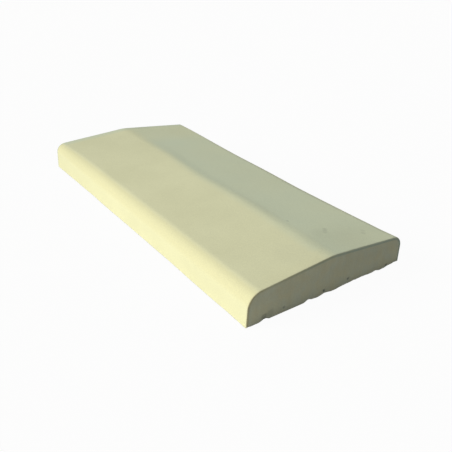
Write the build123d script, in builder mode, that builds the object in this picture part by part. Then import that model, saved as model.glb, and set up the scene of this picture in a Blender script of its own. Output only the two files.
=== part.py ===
from build123d import *
import math
import os

# Twice-weathered wall coping: one cast stone, laid on top of a wall to shed the rain to both sides.
# The frame has X along the length of the wall, Y across it and Z up. The origin is the centre of the bed,
# the face that lies in mortar. All lengths are in millimetres and all angles in degrees.

# Overall size
length = 600.0
width = 280.0

# Heights above the bed, measured to the sharp corners before they are rounded
edge_height = 46.0
ridge_height = 58.0

# The two long faces lean in by this angle, so that the stone leaves its mould; the ends are square
mould_draft = 1.0

# Rounding: the two long arrises, the ridge between the slopes, and the arrises of the two ends
nose_radius = 22.0
ridge_radius = 90.0
end_arris_radius = 1.5

half_width = width / 2
nose_y = half_width - edge_height * math.tan(math.radians(mould_draft))

with BuildPart() as coping_stone:
    # The section across the wall: drafted faces, rounded noses and two slopes that meet in a soft ridge
    with BuildSketch(Plane.YZ.offset(-length / 2)):
        with BuildLine():
            weathered_top = FilletPolyline(
                (-half_width, 0),
                (-nose_y, edge_height),
                (0, ridge_height),
                (nose_y, edge_height),
                (half_width, 0),
                radius=[nose_radius, ridge_radius, nose_radius],
            )
            Line(weathered_top @ 1, weathered_top @ 0)
        make_face()
    extrude(amount=length)

    # The arris round each square end, all but the edge that it shares with the bed
    bed_edges = coping_stone.faces().sort_by(Axis.Z)[0].edges()
    end_faces = coping_stone.faces().sort_by(Axis.X)
    for end_face in (end_faces[0], end_faces[-1]):
        fillet(end_face.edges() - bed_edges, radius=end_arris_radius)

coping_stone.part.label = "coping_stone"

os.makedirs("parts", exist_ok=True)
export_step(coping_stone.part, "parts/coping_stone.step")
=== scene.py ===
"""A twice-weathered wall coping of cast stone, dressed and lit as a plain studio picture.

The stone was cast upside down in a mould, so its slopes and long faces are smooth, and its bed, the open
top of the mould, is rough. Lengths are in metres and the frame is the model's own: X along the length,
Y across the wall, Z up from the floor that the stone lies on. The near end is the one at +X.
"""

import logging
import math
from dataclasses import dataclass
from enum import Enum
from typing import Any, ClassVar

import bpy
import numpy as np
from mathutils import Matrix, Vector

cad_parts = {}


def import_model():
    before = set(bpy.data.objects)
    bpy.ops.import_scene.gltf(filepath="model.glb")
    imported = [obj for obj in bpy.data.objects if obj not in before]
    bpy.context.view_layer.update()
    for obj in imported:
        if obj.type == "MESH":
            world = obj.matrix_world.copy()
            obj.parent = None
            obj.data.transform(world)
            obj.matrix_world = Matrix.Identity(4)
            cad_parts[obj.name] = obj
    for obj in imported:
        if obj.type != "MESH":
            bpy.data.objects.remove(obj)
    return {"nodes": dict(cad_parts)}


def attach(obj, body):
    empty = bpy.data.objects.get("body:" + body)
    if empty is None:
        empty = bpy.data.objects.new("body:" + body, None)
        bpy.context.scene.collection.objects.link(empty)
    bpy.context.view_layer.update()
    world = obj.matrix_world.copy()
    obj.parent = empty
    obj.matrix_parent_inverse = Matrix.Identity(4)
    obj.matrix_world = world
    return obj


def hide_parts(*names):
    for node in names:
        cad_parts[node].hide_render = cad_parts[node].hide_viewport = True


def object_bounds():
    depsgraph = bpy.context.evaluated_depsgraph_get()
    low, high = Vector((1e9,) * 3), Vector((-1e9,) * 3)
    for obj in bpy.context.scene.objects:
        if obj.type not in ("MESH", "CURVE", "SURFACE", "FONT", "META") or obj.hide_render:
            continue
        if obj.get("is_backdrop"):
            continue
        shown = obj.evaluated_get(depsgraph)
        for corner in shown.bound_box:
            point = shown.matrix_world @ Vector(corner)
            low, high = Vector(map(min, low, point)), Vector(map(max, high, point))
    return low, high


MM = 0.001

log = logging.getLogger("coping")


def linear(hex_colour: str) -> tuple[float, float, float, float]:
    """Turns an sRGB hex colour to linear.

    Args:
        hex_colour: six hex digits after a hash sign.

    Returns:
        Linear red, green and blue, and an alpha of 1.
    """
    values = [int(hex_colour[i:i + 2], 16) / 255 for i in (1, 3, 5)]
    curve = [v / 12.92 if v <= 0.04045 else ((v + 0.055) / 1.055) ** 2.4 for v in values]
    return curve[0], curve[1], curve[2], 1.0


def smoothstep(low: float, high: float, value: np.ndarray) -> np.ndarray:
    """Rises from 0 at low to 1 at high as 3t^2 - 2t^3, and stays flat outside them."""
    t = np.clip((value - low) / (high - low), 0, 1)
    return t * t * (3 - 2 * t)


def add_node(tree: bpy.types.NodeTree, kind: str, values: dict | None = None, links: dict | None = None,
             **settings: Any) -> bpy.types.Node:
    """Adds a node with its settings, the values of its free sockets, and its incoming links.

    Args:
        tree: the node tree that takes the node.
        kind: the node's type.
        values: socket name or number to value.
        links: socket name or number to the output that feeds it.
        settings: properties of the node itself.

    Returns:
        The new node.
    """
    node = tree.nodes.new(kind)
    for name, value in settings.items():
        setattr(node, name, value)
    for socket, value in (values or {}).items():
        node.inputs[socket].default_value = value
    for socket, output in (links or {}).items():
        tree.links.new(output, node.inputs[socket])
    return node


class Zone(Enum):
    """A part of the stone's surface that looks different, by the name of the attribute with its share."""

    # Painted cool shade of the right slope
    COOL_SHADE = "cool_shade"
    # Painted warm shading of the noses
    NOSE = "nose"
    STOP_END = "stop_end"
    RIM = "rim"
    BROWN = "brown"
    BED = "bed"
    # Dirt, stains and darkening, with painted shade along the crest and in air holes and nicks
    GRIME_AND_SHADE = "grime_and_shade"


@dataclass(frozen=True)
class Ramp:
    """A smooth step between two places of some coordinate."""

    low: float
    high: float

    def up(self, value: np.ndarray) -> np.ndarray:
        """Goes from 0 before the step to 1 after it."""
        return smoothstep(self.low, self.high, value)

    def down(self, value: np.ndarray) -> np.ndarray:
        """Goes from 1 before the step to 0 after it."""
        return 1 - smoothstep(self.low, self.high, value)


@dataclass(frozen=True)
class Bump:
    """A round bump of height 1 at its middle, which is down to 0 at its reach on both sides."""

    middle: float
    reach: float

    def at(self, value: np.ndarray) -> np.ndarray:
        """Evaluates the bump: the square of one minus the squared distance over the reach."""
        return np.clip(1 - ((value - self.middle) / self.reach) ** 2, 0, None) ** 2


@dataclass(frozen=True)
class Relief:
    """Uneven ground: random heights on a square lattice, joined smoothly, in several ever finer layers."""

    seed: int
    wavelength: float
    layers: int
    height: float

    # Points along a side of the lattice, how many of its widths the origin lies from its corner, and how
    # far each layer starts from the one before it, in steps of the lattice
    LATTICE: ClassVar[int] = 64
    ORIGIN: ClassVar[float] = 4.5
    LAYER_SHIFT: ClassVar[tuple[float, float]] = (7.3, 3.1)

    def at(self, u: np.ndarray, v: np.ndarray) -> np.ndarray:
        """Evaluates the relief.

        Each layer mixes the four random heights round a point by smoothstep weights. A layer has half the
        wavelength and half the height of the one before it, and starts at another place of the lattice.

        Args:
            u: first coordinate of each point, in metres.
            v: second coordinate of each point, in metres.

        Returns:
            A value from minus to plus the relief's height for each point.
        """
        table = np.random.default_rng(self.seed).uniform(-1, 1, (self.LATTICE, self.LATTICE))
        total = np.zeros(np.broadcast(u, v).shape)
        reach = 0.0
        for layer in range(self.layers):
            size = self.wavelength / 2 ** layer
            gu = u / size + self.LATTICE * self.ORIGIN + self.LAYER_SHIFT[0] * layer
            gv = v / size + self.LATTICE * self.ORIGIN + self.LAYER_SHIFT[1] * layer
            iu = np.floor(gu).astype(int)
            iv = np.floor(gv).astype(int)
            wu = smoothstep(0, 1, gu - iu)
            wv = smoothstep(0, 1, gv - iv)
            iu0, iu1 = iu % self.LATTICE, (iu + 1) % self.LATTICE
            iv0, iv1 = iv % self.LATTICE, (iv + 1) % self.LATTICE
            low = table[iu0, iv0] * (1 - wu) + table[iu1, iv0] * wu
            high = table[iu0, iv1] * (1 - wu) + table[iu1, iv1] * wu
            total += (low * (1 - wv) + high * wv) / 2 ** layer
            reach += 1 / 2 ** layer
        return total / reach * self.height


@dataclass(frozen=True)
class Mark:
    """A round mark: an air hole, a nick or a stained spot. The distances are in millimetres. The darkness
    of a hole or a nick is painted shade in its hollow.
    """

    x: float
    y: float
    z: float
    radius: float
    depth: float
    darkness: float

    @property
    def middle(self) -> tuple[float, float, float]:
        """The middle of the mark, in metres."""
        return self.x * MM, self.y * MM, self.z * MM


@dataclass(frozen=True)
class Lump:
    """A lump of the bed along the near end, in millimetres. It rises from the floor or hangs towards it."""

    across: float
    rise: float
    reach: float

    def height(self, y: np.ndarray) -> np.ndarray:
        """How much the lump adds to the bed's height, in metres."""
        return self.rise * MM * Bump(self.across * MM, self.reach * MM).at(y)


@dataclass(frozen=True)
class Whereabouts:
    """Where each point of the stone is, as the finish needs to know it."""

    x: np.ndarray
    y: np.ndarray
    z: np.ndarray

    # Along the length from -1, the far end, to 1, the near one, and across from -1, left, to 1, right
    near: np.ndarray
    right: np.ndarray

    # How far it is from the nearer end along the stone, and from the edge of the end that it lies on
    end_gap: np.ndarray
    rim_gap: np.ndarray

    # Shares of an end and of the top, and how far the surface looks up
    on_end: np.ndarray
    on_top: np.ndarray
    up: np.ndarray


@dataclass(frozen=True)
class CastStoneFinish:
    """Cast stone: cream concrete with a fine facing mix, cast in a smooth mould and struck when set.

    To the eye it is matt and chalky, evenly coloured, with faint clouds where the water dried unevenly and
    a sandy grain. One slope, the one turned from the lamp, has a painted cool shade, and the noses have
    painted warm shading. The ends, which set against the stop boards, are duller, with a grey-green line
    along their edges and a brown one on the near arris. Air holes and nicks are darkened with painted
    shade. The bed, which was only floated off, is grey and gritty.
    """

    facing: str = "#E6E6C0"
    facing_cloud: str = "#E1E1BB"
    # Painted cool shade of the right slope, the side turned from the lamp
    cool_shade: str = "#D9E1C5"
    # Painted warm shading of the noses, and faintly of the long faces
    nose: str = "#DDDBB1"
    stop_end: str = "#C5C6AC"
    stop_end_warm: str = "#C8C4A3"
    rim: str = "#86A096"
    brown: str = "#A89C6A"
    bed: str = "#A9A892"
    # Dirt, stains and darkening, with painted shade along the crest and in air holes and nicks
    grime_and_shade: str = "#5C625A"
    roughness: float = 0.9
    specular: float = 0.25

    # Clouds of the facing, mottles of the ends and of the bed, and upright streaks where the ends drained
    cloud_size: float = 70 * MM
    mottle_size: float = 16 * MM
    pit_depth: float = 0.8 * MM
    streak_size: float = 9 * MM
    streak_stretch: float = 0.12
    streak_tones: tuple[float, float] = (0.965, 1.025)

    # The facing's sand is finer than a millimetre. It is drawn coarser than that, so that it shows
    grain_size: float = 1.6 * MM
    grain_tones: tuple[float, float] = (0.94, 1.04)
    grain_depth: float = 0.25 * MM
    grain_strength: float = 0.35

    # The range of a noise that makes a pattern's whole range, in broad and in fine patterns, and the part
    # of a mark's radius that is fully dark
    BROAD: ClassVar[tuple[float, float]] = (0.35, 0.65)
    FINE: ClassVar[tuple[float, float]] = (0.3, 0.7)
    MARK_CORE: ClassVar[float] = 0.3

    def material(self, marks: tuple[Mark, ...]) -> bpy.types.Material:
        """Builds the material.

        Args:
            marks: the dark marks of the surface.

        Returns:
            A material that lays the zones over each other by the stone's own attributes.
        """
        stone = bpy.data.materials.new("cast_stone_concrete")
        stone.use_nodes = True
        tree = stone.node_tree
        tree.nodes.clear()
        place = add_node(tree, "ShaderNodeTexCoord").outputs["Object"]
        share = {zone: add_node(tree, "ShaderNodeAttribute", attribute_name=zone.value).outputs["Fac"]
                 for zone in Zone}

        # Patterns: clouds in the facing, mottles and upright streaks on the ends, sandy grain everywhere
        clouds = add_node(tree, "ShaderNodeTexNoise", {"Scale": 1 / self.cloud_size, "Detail": 3.0},
                          {"Vector": place})
        cloudy = add_node(tree, "ShaderNodeMapRange",
                          {"From Min": self.BROAD[0], "From Max": self.BROAD[1]},
                          {"Value": clouds.outputs["Fac"]})
        mottles = add_node(tree, "ShaderNodeTexNoise",
                           {"Scale": 1 / self.mottle_size, "Detail": 4.0, "Roughness": 0.6},
                           {"Vector": place})
        mottled = add_node(tree, "ShaderNodeMapRange",
                           {"From Min": self.BROAD[0], "From Max": self.BROAD[1]},
                           {"Value": mottles.outputs["Fac"]})
        upright = add_node(tree, "ShaderNodeMapping", {"Scale": (1.0, 1.0, self.streak_stretch)},
                           {"Vector": place})
        streaks = add_node(tree, "ShaderNodeTexNoise",
                           {"Scale": 1 / self.streak_size, "Detail": 4.0, "Roughness": 0.65},
                           {"Vector": upright.outputs["Vector"]})
        streaky = add_node(tree, "ShaderNodeMapRange",
                           {"From Min": self.FINE[0], "From Max": self.FINE[1],
                            "To Min": self.streak_tones[0], "To Max": self.streak_tones[1]},
                           {"Value": streaks.outputs["Fac"]})
        grain = add_node(tree, "ShaderNodeTexNoise",
                         {"Scale": 1 / self.grain_size, "Detail": 2.0, "Roughness": 0.6}, {"Vector": place})
        speckle = add_node(tree, "ShaderNodeMapRange",
                           {"From Min": self.FINE[0], "From Max": self.FINE[1],
                            "To Min": self.grain_tones[0], "To Max": self.grain_tones[1]},
                           {"Value": grain.outputs["Fac"]})

        # Colours, each zone over the ones before it
        facing = add_node(tree, "ShaderNodeMix", {6: linear(self.facing), 7: linear(self.facing_cloud)},
                          {0: cloudy.outputs["Result"]}, data_type="RGBA")
        colour = facing.outputs[2]
        # Painted cool shade on the right slope, then painted warm shading on the noses
        for zone, tone in ((Zone.COOL_SHADE, self.cool_shade), (Zone.NOSE, self.nose)):
            colour = add_node(tree, "ShaderNodeMix", {7: linear(tone)}, {0: share[zone], 6: colour},
                              data_type="RGBA").outputs[2]
        dull = add_node(tree, "ShaderNodeMix", {6: linear(self.stop_end), 7: linear(self.stop_end_warm)},
                        {0: mottled.outputs["Result"]}, data_type="RGBA")
        streaked = add_node(tree, "ShaderNodeVectorMath", {},
                            {0: dull.outputs[2], "Scale": streaky.outputs["Result"]}, operation="SCALE")
        colour = add_node(tree, "ShaderNodeMix", {},
                          {0: share[Zone.STOP_END], 6: colour, 7: streaked.outputs[0]},
                          data_type="RGBA").outputs[2]
        # Dirt, stains and darkening, painted shade along the crest, and the marks
        dark = share[Zone.GRIME_AND_SHADE]
        # The marks' own darkness: painted shade in the air holes and nicks, stained tone on the shallow and
        # wide ones
        for mark in marks:
            distance = add_node(tree, "ShaderNodeVectorMath", {1: mark.middle}, {0: place},
                                operation="DISTANCE")
            spot = add_node(tree, "ShaderNodeMapRange",
                            {"From Min": self.MARK_CORE * mark.radius * MM, "From Max": mark.radius * MM,
                             "To Min": mark.darkness, "To Max": 0.0},
                            {"Value": distance.outputs["Value"]}, interpolation_type="SMOOTHSTEP")
            dark = add_node(tree, "ShaderNodeMath", {}, {0: dark, 1: spot.outputs["Result"]},
                            operation="MAXIMUM").outputs[0]
        for above, tone in ((share[Zone.RIM], self.rim), (share[Zone.BROWN], self.brown),
                            (share[Zone.BED], self.bed), (dark, self.grime_and_shade)):
            colour = add_node(tree, "ShaderNodeMix", {7: linear(tone)}, {0: above, 6: colour},
                              data_type="RGBA").outputs[2]
        colour = add_node(tree, "ShaderNodeVectorMath", {}, {0: colour, "Scale": speckle.outputs["Result"]},
                          operation="SCALE").outputs[0]

        # The grain stands out a little everywhere, and the bed is pitted as well
        grainy = add_node(tree, "ShaderNodeBump",
                          {"Strength": self.grain_strength, "Distance": self.grain_depth},
                          {"Height": grain.outputs["Fac"]})
        pitted = add_node(tree, "ShaderNodeBump", {"Distance": self.pit_depth},
                          {"Height": mottled.outputs["Result"], "Strength": share[Zone.BED],
                           "Normal": grainy.outputs["Normal"]})
        surface = add_node(tree, "ShaderNodeBsdfPrincipled",
                           {"Roughness": self.roughness, "Specular IOR Level": self.specular},
                           {"Base Color": colour, "Normal": pitted.outputs["Normal"]})
        add_node(tree, "ShaderNodeOutputMaterial", {}, {"Surface": surface.outputs["BSDF"]})
        return stone


@dataclass
class CopingStone:
    """The stone itself: one section swept along the length, closed by its two ends.

    It takes the upper corner of the solid's box, whose middle lies over the origin.
    """

    high: np.ndarray
    body: str = "root"
    node: str = "coping_stone"

    # The section
    edge_height: float = 46 * MM
    ridge_height: float = 58 * MM
    nose_radius: float = 22 * MM
    ridge_radius: float = 90 * MM
    mould_draft: float = math.radians(1.0)
    bed_arris: float = 0.4 * MM
    end_arris: float = 1.5 * MM

    # Nose radii that the mould did not hold, and the part of the length where each takes over
    far_right_nose: float = 9 * MM
    far_right_part: Ramp = Ramp(-300 * MM, 0)
    far_right_decay: float = 1.5
    middle_right_nose: float = 27 * MM
    middle_right_part: Bump = Bump(130 * MM, 170 * MM)
    near_right_nose: float = 19 * MM
    near_right_part: Ramp = Ramp(265 * MM, 300 * MM)
    far_left_nose: float = 17 * MM
    far_left_part: Ramp = Ramp(-300 * MM, -200 * MM)

    # How many steps the surface has along the stone, across its top and bed, up its sides and round an
    # arris, how strongly they crowd at the ends, and how many points draw a foot, a nose and half the ridge
    steps_along: int = 200
    steps_across: int = 148
    steps_up: int = 30
    steps_arris: int = 5
    END_CROWDING: ClassVar[float] = 0.25
    FOOT_POINTS: ClassVar[int] = 8
    NOSE_POINTS: ClassVar[int] = 41
    RIDGE_POINTS: ClassVar[int] = 14

    # Unevenness of the smooth faces
    ridge_wander: Relief = Relief(21, 110 * MM, 2, 3 * MM)
    ridge_reach: float = 28 * MM
    slope_wave: Relief = Relief(22, 90 * MM, 3, 0.35 * MM)
    end_ripple: Relief = Relief(23, 45 * MM, 4, 0.12 * MM)

    # The rough bed. Its relief fades up the sides over bed_blend, and over bed_edge towards a long edge,
    # where bed_edge_share of it is left. The lumps and the broken edge that show at the near end take over
    # within seen_bed of it. The left edge bows up, with a hump on its near half
    bed_gap: float = 1.1 * MM
    bed_blend: Ramp = Ramp(0, 14 * MM)
    bed_lumps: Relief = Relief(11, 34 * MM, 4, 2.2 * MM)
    bed_grit: Relief = Relief(12, 9 * MM, 2, 0.7 * MM)
    bed_edge: Ramp = Ramp(0, 30 * MM)
    bed_edge_share: float = 0.3
    broken_edge: Relief = Relief(13, 5 * MM, 2, 0.55 * MM)
    seen_bed: Ramp = Ramp(8 * MM, 45 * MM)
    left_edge_lift: float = 1.5 * MM
    left_edge_bow: Bump = Bump(-90 * MM, 300 * MM)
    left_edge_hump: float = 1.2 * MM
    left_edge_hump_part: Bump = Bump(102 * MM, 96 * MM)
    left_edge_strip: Ramp = Ramp(90 * MM, 130 * MM)

    # How far the surface looks up where it counts as top, where the noses' painted shading fades out, as nose
    # and as underside
    top_from: Ramp = Ramp(0.9, 0.98)
    nose_shading_fade: Ramp = Ramp(0.88, 1.0)
    nose_from: Ramp = Ramp(0.02, 0.45)
    underside_to: Ramp = Ramp(-0.97, -0.8)
    # The share of the noses' painted shading on the long faces
    face_shading: float = 0.25

    # Painted cool shade on the right slope, the side turned from the lamp: where it rises near the ridge,
    # how its edge slants, bends and hooks, how strong it is, and the strip of it at the far end's edge. Parts
    # are shares of half the length
    cool_shade_rise: Ramp = Ramp(-17.5 * MM, 8.5 * MM)
    cool_shade_slant: float = 9 * MM
    cool_shade_bend: float = 8 * MM
    cool_shade_bend_part: Ramp = Ramp(0.3, 0.9)
    cool_shade_hook: float = 6 * MM
    cool_shade_hook_part: Ramp = Ramp(0.9, 0.94)
    cool_shade_strength: float = 0.95
    cool_shade_thinning: float = 0.3
    cool_shade_thin_far: float = 0.45
    cool_shade_thin_part: Ramp = Ramp(0.6, 0.82)
    cool_shade_cloud: Relief = Relief(32, 60 * MM, 3, 0.15)
    cool_shade_far_edge: float = 0.75
    cool_shade_far_strip: Ramp = Ramp(9 * MM, 20 * MM)

    # A grey-green line: just inside the near end's edge, fuller from the ridge to the right, and just
    # outside the far end's edge
    near_rim: Bump = Bump(1.2 * MM, 2.4 * MM)
    far_rim: Bump = Bump(-1.2 * MM, 2.4 * MM)
    rim_left: float = 0.1
    rim_right: float = 0.68
    rim_part: Ramp = Ramp(-0.9, 0)
    rim_far: float = 0.5

    # A brown line on the near end's arris, left of the ridge
    brown_rim: Bump = Bump(0.4 * MM, 1.8 * MM)
    brown_share: float = 0.65
    brown_fade: float = 0.3
    brown_fade_part: Ramp = Ramp(-0.93, -0.75)
    brown_part: Ramp = Ramp(-0.1, 0.25)

    # Painted shade in faint brown along the ridge, and faint brown stains on the near part of the right slope
    # and by the left slope's end
    ridge_shade: float = 0.08
    ridge_shade_part: Ramp = Ramp(-0.6, -0.3)
    ridge_shade_near: float = 0.05
    ridge_shade_near_part: Ramp = Ramp(0.3, 0.6)
    ridge_shade_strip: Bump = Bump(-2 * MM, 14 * MM)
    near_stain: float = 0.06
    near_stain_part: Ramp = Ramp(0.78, 0.9)
    near_stain_strip: Bump = Bump(45 * MM, 60 * MM)
    end_stain: float = 0.05
    end_stain_part: Ramp = Ramp(0.93, 0.97)
    end_stain_side: Ramp = Ramp(-0.2, -0.05)

    # Darkening on the far part of the left slope and on the near part of the right one, and dusting at the
    # far edge
    far_left_darkening: float = 0.06
    far_left_darkening_part: Ramp = Ramp(0.2, 0.85)
    far_left_darkening_side: Ramp = Ramp(-0.07, 0.07)
    near_right_darkening: float = 0.055
    near_right_darkening_part: Ramp = Ramp(0.72, 0.88)
    near_right_darkening_side: Ramp = Ramp(-0.54, -0.14)
    dust_edge: float = 0.1
    dust_edge_strip: Ramp = Ramp(7 * MM, 16 * MM)
    dust_edge_part: Bump = Bump(34 * MM, 34 * MM)

    # Painted shade: a darker line along the edge of the painted cool shade, on the crest
    crest_shade: float = 0.05
    crest_shade_strip: Bump = Bump(8 * MM, 14 * MM)
    crest_shade_start: Ramp = Ramp(-0.75, -0.4)
    crest_shade_end: Ramp = Ramp(0.45, 0.7)

    # Darker high and low on the ends
    high_darkening: float = 0.07
    high_darkening_right: float = 0.04
    high_darkening_side: Ramp = Ramp(-0.14, 0.14)
    high_darkening_from: Ramp = Ramp(18 * MM, 36 * MM)
    low_darkening: float = 0.09
    low_darkening_to: Ramp = Ramp(2 * MM, 14 * MM)
    stop_end_skin: Ramp = Ramp(0.2 * MM, 1.2 * MM)

    LUMPS: ClassVar[tuple[Lump, ...]] = (
        Lump(-139, -0.8, 10),
        Lump(-126, -1.6, 13),
        Lump(-108.5, 1.1, 10),
        Lump(-97.5, -2.6, 13),
        Lump(-78, -2.0, 26),
        Lump(-52, -1.9, 14),
        Lump(-39, 1.5, 8),
        Lump(-24, -1.0, 15),
        Lump(-9, 0.6, 12),
        Lump(8, -0.9, 21),
        Lump(54, 1.1, 39),
        Lump(90, 1.5, 7),
        Lump(104, -0.9, 15),
        Lump(139, 1.8, 36),
    )
    # The marks on the near end and the one at 193 mm along are hollows whose darkness is painted shade; the
    # shallow and wide ones on the top are stains
    MARKS: ClassVar[tuple[Mark, ...]] = (
        Mark(300, -12.0, 7.2, 3.0, 1.4, 0.85),
        Mark(300, 33.2, 10.1, 3.0, 1.2, 0.65),
        Mark(300, -81.3, 8.5, 3.0, 0.8, 0.4),
        Mark(300, -112, 6.0, 7.5, 1.3, 0.4),
        Mark(300, -103, 8.0, 9.0, 0.3, 0.2),
        Mark(300, 112.9, 4.5, 4.0, 1.2, 0.6),
        Mark(244, 38, 54.7, 5.5, 0.1, 0.17),
        Mark(240, 42, 54.4, 5.5, 0.1, 0.2),
        Mark(236, 46, 54.1, 5.5, 0.1, 0.17),
        Mark(248, 30, 55.4, 26.0, 0.0, 0.075),
        Mark(265, -38, 54.7, 40.0, 0.0, 0.075),
        Mark(269, 90, 50.2, 6.0, 0.1, 0.17),
        Mark(263, 96, 49.7, 6.0, 0.1, 0.15),
        Mark(193, 13, 56.9, 2.8, 0.4, 0.28),
    )

    def half_outline(self, nose_radius: float) -> np.ndarray:
        """Works out the right half of the section, from the middle of the bed's corner arc to the ridge.

        A drafted face rises from the bed, an arc of the nose radius turns it into the slope, and an arc of
        the ridge radius, whose centre is under the middle, turns the slope level at the ridge.

        Args:
            nose_radius: radius of the nose.

        Returns:
            Across and up coordinates of closely spaced points.
        """
        half_width = self.high[1]
        draft = self.mould_draft
        corner = np.array([half_width - self.edge_height * math.tan(draft), self.edge_height])
        slope = math.atan2(self.ridge_height - self.edge_height, corner[0])
        turn = math.pi / 2 - draft - slope
        face_up = np.array([-math.sin(draft), math.cos(draft)])
        face_out = np.array([math.cos(draft), math.sin(draft)])
        nose_centre = corner - nose_radius * (face_up * math.tan(turn / 2) + face_out)
        nose_turn = np.linspace(draft, draft + turn, self.NOSE_POINTS)
        nose = nose_centre + nose_radius * np.stack([np.cos(nose_turn), np.sin(nose_turn)], 1)
        ridge_centre = np.array([0.0, self.ridge_height - self.ridge_radius / math.cos(slope)])
        ridge_turn = np.linspace(math.pi / 2 - slope, math.pi / 2, self.RIDGE_POINTS)
        ridge = ridge_centre + self.ridge_radius * np.stack([np.cos(ridge_turn), np.sin(ridge_turn)], 1)
        foot_centre = np.array([half_width - self.bed_arris * (1 + math.tan(draft)), self.bed_arris])
        foot_turn = np.linspace(-math.pi / 4, draft, self.FOOT_POINTS)
        foot = foot_centre + self.bed_arris * np.stack([np.cos(foot_turn), np.sin(foot_turn)], 1)
        return np.concatenate([foot, nose, ridge])

    def loop(self, nose_radius: float) -> np.ndarray:
        """Spaces points round the whole section.

        The outline is cut at the middle of each nose and of each foot, into two sides, a top and a bed, and
        each cut piece is spaced evenly. The spacing is that of the standard nose radius, so the points of
        any two radii match. The bed is level, and curves up to its corners over one and a half arris radii.

        Args:
            nose_radius: radius of both noses.

        Returns:
            The points (across, up), anticlockwise seen from the near end.
        """
        standard = self.half_outline(self.nose_radius)
        walk = np.concatenate([[0], np.cumsum(np.hypot(*np.diff(standard, axis=0).T))])
        nose_middle = walk[self.FOOT_POINTS + self.NOSE_POINTS // 2]
        stops = np.concatenate([np.linspace(0, nose_middle, self.steps_up + 1),
                                np.linspace(nose_middle, walk[-1], self.steps_across // 2 + 1)[1:]])
        number = np.interp(stops, walk, np.arange(len(walk)))
        outline = self.half_outline(nose_radius)
        half = np.stack([np.interp(number, np.arange(len(walk)), side) for side in outline.T], 1)
        flip = np.array([-1.0, 1.0])
        side = half[:self.steps_up + 1]
        top = np.concatenate([half[self.steps_up:], half[-2:self.steps_up - 1:-1] * flip])
        left = side[::-1] * flip
        bed_share = np.linspace(-1, 1, self.steps_across + 1)
        bed_corner = Ramp(1 - 1.5 * self.bed_arris / side[0, 0], 1)
        bed_up = side[0, 1] * bed_corner.up(np.abs(bed_share))
        bed = np.stack([bed_share * side[0, 0], bed_up], 1)
        return np.concatenate([side[:-1], top[:-1], left[:-1], bed[:-1]])

    def stations(self) -> tuple[np.ndarray, np.ndarray]:
        """Places the cross-sections along the length.

        They are closest at the ends, by a sine. The last few at each end step round a quarter circle, which
        rounds the arris: one that has turned by an angle stands back by one minus its sine and is smaller by
        one minus its cosine, both times the radius.

        Returns:
            Where each section stands along the length, and by how much it is smaller than the full section.
        """
        share = np.linspace(-1, 1, self.steps_along + 1)
        reach = self.high[0] - self.end_arris
        crowded = np.sin(share * math.pi / 2)
        middle = reach * ((1 - self.END_CROWDING) * share + self.END_CROWDING * crowded)
        turn = np.linspace(0, math.pi / 2, self.steps_arris + 1)[1:]
        outwards = reach + self.end_arris * np.sin(turn)
        shrink = self.end_arris * (1 - np.cos(turn))
        along = np.concatenate([-outwards[::-1], middle, outwards])
        inset = np.concatenate([shrink[::-1], np.zeros(len(middle)), shrink])
        return along, inset

    def nose_change(self, x: np.ndarray, across: np.ndarray) -> np.ndarray:
        """How much tighter or softer a nose is than the standard one.

        Args:
            x: place along the length.
            across: place across the width, whose sign tells the right nose from the left one.

        Returns:
            The difference of the radius, which changes smoothly along the stone.
        """
        far = self.far_right_part.down(x) ** self.far_right_decay
        right = ((self.far_right_nose - self.nose_radius) * far
                 + (self.middle_right_nose - self.nose_radius) * self.middle_right_part.at(x)
                 + (self.near_right_nose - self.nose_radius) * self.near_right_part.up(x))
        left = (self.far_left_nose - self.nose_radius) * self.far_left_part.down(x)
        return np.where(across > 0, right, left)

    def end_grid(self, ring: np.ndarray) -> np.ndarray:
        """Fills one end with a net between its four edges.

        The point for a share across and a share up is the sum of the blend between bed and top and the blend
        between the two sides, less the blend of the four corners.

        Args:
            ring: the end section's points, in the order of the loop.

        Returns:
            Points of the net, with one row for each step up and one column for each step across.
        """
        n, m = self.steps_across, self.steps_up
        right = ring[:m + 1]
        top = ring[m:m + n + 1][::-1]
        left = ring[m + n:2 * m + n + 1][::-1]
        bed = np.concatenate([ring[2 * m + n:], ring[:1]])
        s = np.linspace(0, 1, n + 1)[None, :, None]
        t = np.linspace(0, 1, m + 1)[:, None, None]
        net = (1 - t) * bed[None] + t * top[None] + (1 - s) * left[:, None] + s * right[:, None]
        corners = (1 - s) * (1 - t) * bed[0] + s * (1 - t) * bed[-1] + (1 - s) * t * top[0] + s * t * top[-1]
        return net - corners

    def surface(self) -> tuple[np.ndarray, np.ndarray, np.ndarray, np.ndarray]:
        """Puts the swept section and its two ends together.

        Returns:
            The points, the four-sided faces, each point's outward direction before any wear, and how far
            each point of an end is from that end's edge.
        """
        ring = self.loop(self.nose_radius)
        wider = self.loop(self.nose_radius + MM)
        ahead_point, point_before = np.roll(ring, -1, 0), np.roll(ring, 1, 0)
        out = (ahead_point - point_before)[:, ::-1] * (1, -1)
        out /= np.linalg.norm(out, axis=1, keepdims=True)
        along, inset = self.stations()
        rows, columns = len(along), len(ring)
        change = self.nose_change(along[:, None], ring[None, :, 0]) / MM
        swept = ring[None] + (wider - ring)[None] * change[..., None] - out[None] * inset[:, None, None]
        x = np.broadcast_to(along[:, None, None], (rows, columns, 1))
        level = np.zeros((rows, columns, 1))
        sleeve_out = np.concatenate([level, np.broadcast_to(out[None], swept.shape)], 2)
        index = np.arange(rows * columns).reshape(rows, columns)
        ahead = np.roll(index, -1, 1)

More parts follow.
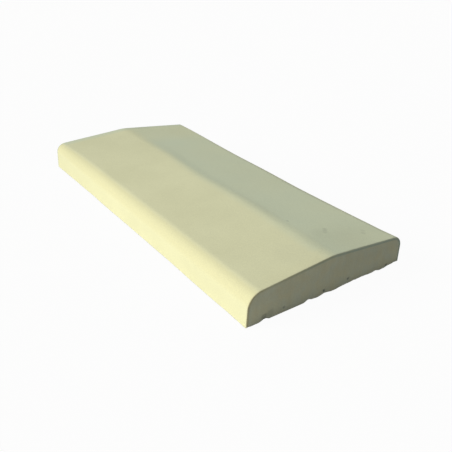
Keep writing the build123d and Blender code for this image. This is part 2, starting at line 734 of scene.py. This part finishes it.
        points = [np.concatenate([x, swept], 2).reshape(-1, 3)]
        outs = [sleeve_out.reshape(-1, 3)]
        rims = [np.zeros(rows * columns)]
        faces = [np.stack([index[:-1], ahead[:-1], ahead[1:], index[1:]], -1).reshape(-1, 4)]
        start = rows * columns
        n, m = self.steps_across, self.steps_up
        count = (m - 1) * (n - 1)
        for row, facing in ((0, -1.0), (rows - 1, 1.0)):
            inner = self.end_grid(swept[row])[1:-1, 1:-1]
            table = np.zeros((m + 1, n + 1), int)
            table[1:-1, 1:-1] = start + np.arange(count).reshape(m - 1, n - 1)
            edge = index[row]
            table[:, -1] = edge[:m + 1]
            table[-1] = edge[m:m + n + 1][::-1]
            table[:, 0] = edge[m + n:2 * m + n + 1][::-1]
            table[0] = np.concatenate([edge[2 * m + n:], edge[:1]])
            points.append(np.concatenate([np.full((count, 1), along[row]), inner.reshape(-1, 2)], 1))
            outs.append(np.tile([facing, 0.0, 0.0], (count, 1)))
            gaps = inner.reshape(-1, 1, 2) - swept[row][None, :2 * m + n]
            rims.append(np.hypot(gaps[..., 0], gaps[..., 1]).min(1))
            quads = np.stack([table[:-1, :-1], table[:-1, 1:], table[1:, 1:], table[1:, :-1]], -1)
            quads = quads.reshape(-1, 4)
            faces.append(quads if facing > 0 else quads[:, ::-1])
            start += count
        return np.concatenate(points), np.concatenate(faces), np.concatenate(outs), np.concatenate(rims)

    def bed_height(self, x: np.ndarray, y: np.ndarray) -> np.ndarray:
        """How high the rough bed stands over the floor.

        It is a mean gap plus a random relief, which dies away towards the straight long edges. Within a few
        centimetres of the near end the lumps seen there take over from the random relief. The left edge
        bows up a little over most of its length, with a hump on its near half.

        Args:
            x: place along the length.
            y: place across the width.

        Returns:
            Heights over the floor, never below it.
        """
        inside = self.bed_edge.up(self.high[1] - np.abs(y))
        lumpy = self.bed_edge_share + (1 - self.bed_edge_share) * inside
        random = self.bed_lumps.at(x, y) * lumpy + self.bed_grit.at(x, y) * inside
        near = self.seen_bed.down(self.high[0] - x)
        seen = self.broken_edge.at(x, y) + sum(lump.height(y) for lump in self.LUMPS)
        left = self.left_edge_lift * self.left_edge_bow.at(x)
        left += self.left_edge_hump * self.left_edge_hump_part.at(x)
        left *= self.left_edge_strip.up(-y)
        return np.clip(self.bed_gap + left + random * (1 - near) + seen * near, 0, None)

    def worn(self, points: np.ndarray, outs: np.ndarray) -> np.ndarray:
        """Gives the clean surface the unevenness of a cast one.

        The ridge wanders sideways, by a bell curve across it. The faces ripple and the marks are hollowed
        out, both inwards along the outward directions, and the bed's relief lifts the bed.

        Args:
            points: the clean surface.
            outs: its outward directions.

        Returns:
            The moved points. They only move inwards, but for the ridge, which also wanders sideways.
        """
        moved = points.copy()
        x, y, z = points.T
        on_top = self.top_from.up(outs[:, 2])
        on_end = np.abs(outs[:, 0])
        moved[:, 1] += self.ridge_line(x) * np.exp(-(y / self.ridge_reach) ** 2) * on_top
        wave = self.slope_wave.at(x, y) - self.slope_wave.height
        ripple = self.end_ripple.at(y, z) - self.end_ripple.height
        moved += outs * (wave * (1 - on_end) + ripple * on_end)[:, None]
        for mark in self.MARKS:
            distance = np.linalg.norm(points - mark.middle, axis=1)
            moved -= outs * (Bump(0, mark.radius * MM).at(distance) * mark.depth * MM)[:, None]
        moved[:, 2] += self.bed_height(x, y) * self.bed_blend.down(z)
        return moved

    def ridge_line(self, x: np.ndarray) -> np.ndarray:
        """How far the ridge has wandered sideways at each place along the length."""
        return self.ridge_wander.at(x, np.zeros_like(x))

    def whereabouts(self, points: np.ndarray, outs: np.ndarray, rims: np.ndarray) -> Whereabouts:
        """Gathers where each point is.

        Args:
            points: the clean surface.
            outs: its outward directions.
            rims: how far each point of an end is from that end's edge.

        Returns:
            The places of the points, as the finish needs to know them.
        """
        x, y, z = points.T
        return Whereabouts(x, y, z, near=x / self.high[0], right=y / self.high[1],
                           end_gap=self.high[0] - np.abs(x), rim_gap=rims, on_end=np.abs(outs[:, 0]),
                           on_top=self.top_from.up(outs[:, 2]), up=outs[:, 2])

    def cool_shade_edge_gap(self, at: Whereabouts) -> np.ndarray:
        """How far each point is past the edge of the painted cool shade, which runs slantwise over the ridge.

        Args:
            at: where the points are.

        Returns:
            The distance across the stone. The edge bends away from the ridge at the far end, and hooks
            back to it at the near end.
        """
        gap = at.y - self.ridge_line(at.x) + self.cool_shade_slant * at.near
        gap -= self.cool_shade_bend * self.cool_shade_bend_part.up(-at.near)
        return gap - self.cool_shade_hook * self.cool_shade_hook_part.up(at.near)

    def cool_shade(self, at: Whereabouts) -> np.ndarray:
        """Spreads the painted cool shade of the right slope, the side turned from the lamp.

        Args:
            at: where the points are.

        Returns:
            Its share, which thins out to the right and to the far end, with a strip along the far edge.
        """
        share = self.cool_shade_rise.up(self.cool_shade_edge_gap(at))
        share *= 1 - self.cool_shade_thin_far * self.cool_shade_thin_part.up(-at.near)
        share *= self.cool_shade_strength - self.cool_shade_thinning * at.right + self.cool_shade_cloud.at(at.x, at.y)
        far_edge = self.cool_shade_far_edge * self.cool_shade_far_strip.down(at.end_gap) * (at.x < 0)
        return np.maximum(share, far_edge) * at.on_top

    def rim(self, at: Whereabouts) -> np.ndarray:
        """Draws a grey-green line along the edges of both ends.

        Args:
            at: where the points are.

        Returns:
            Its share, a bump of the distance from the edge, counted inwards on the end.
        """
        line = at.rim_gap - at.end_gap
        fullness = self.rim_left + (self.rim_right - self.rim_left) * self.rim_part.up(at.right)
        return np.where(at.x > 0, fullness * self.near_rim.at(line), self.rim_far * self.far_rim.at(line))

    def brown(self, at: Whereabouts) -> np.ndarray:
        """Draws a brown line on the near end's arris, painted shade in brown along the ridge, and faint brown
        stains of the top.

        Args:
            at: where the points are.

        Returns:
            The larger of the two shares.
        """
        line = self.brown_share * self.brown_rim.at(at.rim_gap - at.end_gap) * (at.x > 0)
        line *= (1 - self.brown_fade * self.brown_fade_part.up(at.right)) * self.brown_part.down(at.right)
        # Painted shade in brown along the ridge, then the stains
        stain_and_shade = self.ridge_shade * self.ridge_shade_part.up(at.near)
        stain_and_shade += self.ridge_shade_near * self.ridge_shade_near_part.up(at.near)
        stain_and_shade *= self.ridge_shade_strip.at(at.y - self.ridge_line(at.x))
        stain_and_shade += self.near_stain * self.near_stain_part.up(at.near) * self.near_stain_strip.at(at.y)
        stain_and_shade += self.end_stain * self.end_stain_part.up(at.near) * self.end_stain_side.down(at.right)
        return np.maximum(line, stain_and_shade * at.on_top)

    def grime_and_shade(self, at: Whereabouts) -> np.ndarray:
        """Lays darkening, painted shade along the crest and dusting at the far edge on the long sides, and
        darkening high and low on the ends.

        Args:
            at: where the points are.

        Returns:
            Its share.
        """
        side_darkening = self.far_left_darkening * self.far_left_darkening_part.up(-at.near) * self.far_left_darkening_side.down(at.right)
        side_darkening += self.near_right_darkening * self.near_right_darkening_part.up(at.near) * self.near_right_darkening_side.up(at.right)
        # Painted shade along the crest
        side_darkening += (self.crest_shade * self.crest_shade_strip.at(self.cool_shade_edge_gap(at))
                 * self.crest_shade_start.up(at.near) * self.crest_shade_end.down(at.near))
        far_edge = self.dust_edge * self.dust_edge_part.at(at.y)
        side_darkening += far_edge * self.dust_edge_strip.down(at.end_gap) * (at.x < 0)
        high = self.high_darkening + self.high_darkening_right * self.high_darkening_side.up(at.right)
        end_darkening = high * self.high_darkening_from.up(at.z) + self.low_darkening * self.low_darkening_to.down(at.z)
        return side_darkening * (1 - at.on_end) + end_darkening * at.on_end

    def masks(self, at: Whereabouts) -> dict[Zone, np.ndarray]:
        """Works out where each zone of the finish shows.

        The nose and, less so, the long face under it get the nose's darker, yellower tone: painted warm
        shading where the surface turns between face and top.

        Args:
            at: where the points are.

        Returns:
            One share from 0 to 1 for each point, under each zone.
        """
        bed = self.underside_to.down(at.up)
        nose = self.face_shading + (1 - self.face_shading) * self.nose_from.up(at.up)
        nose *= self.nose_shading_fade.down(at.up) * (1 - bed) * (1 - at.on_end)
        stop_end = self.stop_end_skin.down(at.end_gap) * (1 - bed)
        return {Zone.COOL_SHADE: self.cool_shade(at), Zone.NOSE: nose, Zone.STOP_END: stop_end, Zone.RIM: self.rim(at),
                Zone.BROWN: self.brown(at), Zone.BED: bed, Zone.GRIME_AND_SHADE: self.grime_and_shade(at)}

    def build(self, finish: CastStoneFinish) -> bpy.types.Object:
        """Makes the stone and dresses it.

        Args:
            finish: the finish of the whole stone.

        Returns:
            The finished object, in place of the plain CAD node.
        """
        points, faces, outs, rims = self.surface()
        mesh = bpy.data.meshes.new("cast_coping")
        mesh.from_pydata(self.worn(points, outs), [], faces.tolist())
        for zone, share in self.masks(self.whereabouts(points, outs, rims)).items():
            attribute = mesh.attributes.new(zone.value, "FLOAT", "POINT")
            attribute.data.foreach_set("value", np.clip(share, 0, 1).astype(np.float32))
        mesh.polygons.foreach_set("use_smooth", np.ones(len(faces), bool))
        mesh.materials.append(finish.material(self.MARKS))
        mesh.update()
        mesh.validate()
        piece = bpy.data.objects.new("cast_coping", mesh)
        bpy.context.scene.collection.objects.link(piece)
        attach(piece, self.body)
        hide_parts(self.node)
        log.info("coping stone: %d points, %d faces", len(points), len(faces))
        return piece


@dataclass(frozen=True)
class Lamp:
    """A distant soft lamp. At a strength of pi it lights a surface that faces it to its written colour."""

    name: str
    azimuth: float
    elevation: float
    level: float
    colour: str
    softness: float

    def place(self) -> None:
        """Adds the lamp, shining from its azimuth (0 is from -Y, 90 from +X) and elevation."""
        light = bpy.data.lights.new(self.name, "SUN")
        light.energy = self.level * math.pi
        light.color = linear(self.colour)[:3]
        light.angle = math.radians(self.softness)
        lamp = bpy.data.objects.new(self.name, light)
        turn = Matrix.Rotation(math.radians(self.azimuth), 4, "Z")
        tilt = Matrix.Rotation(math.radians(90 - self.elevation), 4, "X")
        lamp.matrix_world = turn @ tilt
        bpy.context.scene.collection.objects.link(lamp)
        log.info("lamp %s at level %.2f", self.name, self.level)


@dataclass(frozen=True)
class FloorPaint:
    """Matt white floor paint, rolled on. Seen directly it reads as nearly white, with a faint shadow left."""

    colour: str = "#D2D2D0"
    white_share: float = 0.96

    def material(self) -> bpy.types.Material:
        """Builds a matt paint that is mostly replaced by plain white where it is seen directly.

        Returns:
            The floor's material.
        """
        paint = bpy.data.materials.new("matt_white_floor_paint")
        paint.use_nodes = True
        tree = paint.node_tree
        tree.nodes.clear()
        matt = add_node(tree, "ShaderNodeBsdfDiffuse", {"Color": linear(self.colour)})
        white = add_node(tree, "ShaderNodeEmission", {"Strength": 1.0})
        share = add_node(tree, "ShaderNodeMath", {1: self.white_share}, {0: seen_directly(tree)},
                         operation="MULTIPLY")
        both = add_node(tree, "ShaderNodeMixShader", {},
                        {0: share.outputs[0], 1: matt.outputs[0], 2: white.outputs[0]})
        add_node(tree, "ShaderNodeOutputMaterial", {}, {"Surface": both.outputs[0]})
        return paint


@dataclass(frozen=True)
class Studio:
    """A pale plain floor under an even, slightly cool room light, and one warm lamp low on the left."""

    floor_size: float = 40.0
    floor_paint: FloorPaint = FloorPaint()
    room_colour: str = "#EEF4FA"
    room_level: float = 0.36
    backdrop_level: float = 0.98
    lamps: tuple[Lamp, ...] = (
        Lamp("key_lamp", -25.0, 22.5, 1.0, "#FFFAEE", 30.0),
    )

    def build(self) -> None:
        """Lays the floor, sets the room light and places the lamps."""
        self.lay_floor()
        self.light_room()
        for lamp in self.lamps:
            lamp.place()

    def lay_floor(self) -> None:
        """Lays one flat square whose corners are half its size from the middle along each axis."""
        half = self.floor_size / 2
        corners = [(-half, -half, 0), (half, -half, 0), (half, half, 0), (-half, half, 0)]
        mesh = bpy.data.meshes.new("studio_floor")
        mesh.from_pydata(corners, [], [(0, 1, 2, 3)])
        mesh.materials.append(self.floor_paint.material())
        floor = bpy.data.objects.new("studio_floor", mesh)
        bpy.context.scene.collection.objects.link(floor)
        floor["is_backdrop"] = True
        log.info("floor: %.0f m square", self.floor_size)

    def light_room(self) -> None:
        """Makes the room a dim even light that is seen as white as the floor, so no horizon shows."""
        world = bpy.data.worlds.new("studio_room")
        bpy.context.scene.world = world
        world.use_nodes = True
        tree = world.node_tree
        tree.nodes.clear()
        room = add_node(tree, "ShaderNodeBackground",
                        {"Color": linear(self.room_colour), "Strength": self.room_level})
        white = add_node(tree, "ShaderNodeBackground",
                         {"Color": linear("#FFFFFF"), "Strength": self.backdrop_level})
        both = add_node(tree, "ShaderNodeMixShader", {},
                        {0: seen_directly(tree), 1: room.outputs[0], 2: white.outputs[0]})
        add_node(tree, "ShaderNodeOutputWorld", {}, {"Surface": both.outputs[0]})


def seen_directly(tree: bpy.types.NodeTree) -> bpy.types.NodeSocket:
    """Says whether a ray comes from the camera, or from it through glass or off a mirror.

    Args:
        tree: the node tree that asks.

    Returns:
        The output that is 1 for such a ray and 0 for any other.
    """
    path = add_node(tree, "ShaderNodeLightPath")
    mirror = add_node(tree, "ShaderNodeMath", {},
                      {0: path.outputs["Is Camera Ray"], 1: path.outputs["Is Glossy Ray"]},
                      operation="MAXIMUM")
    glass = add_node(tree, "ShaderNodeMath", {},
                     {0: mirror.outputs[0], 1: path.outputs["Is Transmission Ray"]},
                     operation="MAXIMUM")
    return glass.outputs[0]


@dataclass(frozen=True)
class PhotoCamera:
    """The camera that stands where the photograph was taken from. Pixels count from the top left."""

    eye: tuple[float, float, float] = (0.70685, -0.4755, 0.41085)
    azimuth: float = 50.845
    elevation: float = 25.941
    roll: float = 3.41
    lens: float = 44.12
    axis_x: float = 250.0
    axis_y: float = 212.0

    PICTURE_SIDE: ClassVar[float] = 452.0
    SENSOR_WIDTH: ClassVar[float] = 36.0

    def place(self) -> None:
        """Adds the camera, whose lens axis meets the picture at the pixel (axis_x, axis_y)."""
        data = bpy.data.cameras.new("photo_camera")
        data.sensor_width = self.SENSOR_WIDTH
        data.lens = self.lens
        data.shift_x = (self.PICTURE_SIDE / 2 - self.axis_x) / self.PICTURE_SIDE
        data.shift_y = (self.axis_y - self.PICTURE_SIDE / 2) / self.PICTURE_SIDE
        camera = bpy.data.objects.new("photo_camera", data)
        turn = Matrix.Rotation(math.radians(self.azimuth), 4, "Z")
        tilt = Matrix.Rotation(math.radians(90 - self.elevation), 4, "X")
        lean = Matrix.Rotation(math.radians(self.roll), 4, "Z")
        camera.matrix_world = Matrix.Translation(self.eye) @ turn @ tilt @ lean
        bpy.context.scene.collection.objects.link(camera)
        bpy.context.scene.camera = camera
        log.info("camera at %s", self.eye)


def main() -> None:
    """Loads the frame, builds the stone, the studio and the camera in turn."""
    logging.basicConfig(level=logging.INFO, format="%(name)s: %(message)s")
    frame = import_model()
    cad_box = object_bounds()
    log.info("frame nodes: %s", ", ".join(frame["nodes"]))
    bpy.context.scene.view_settings.view_transform = "Standard"
    CopingStone(np.array(cad_box[1])).build(CastStoneFinish())
    Studio().build()
    PhotoCamera().place()


if __name__ == "__main__":
    main()
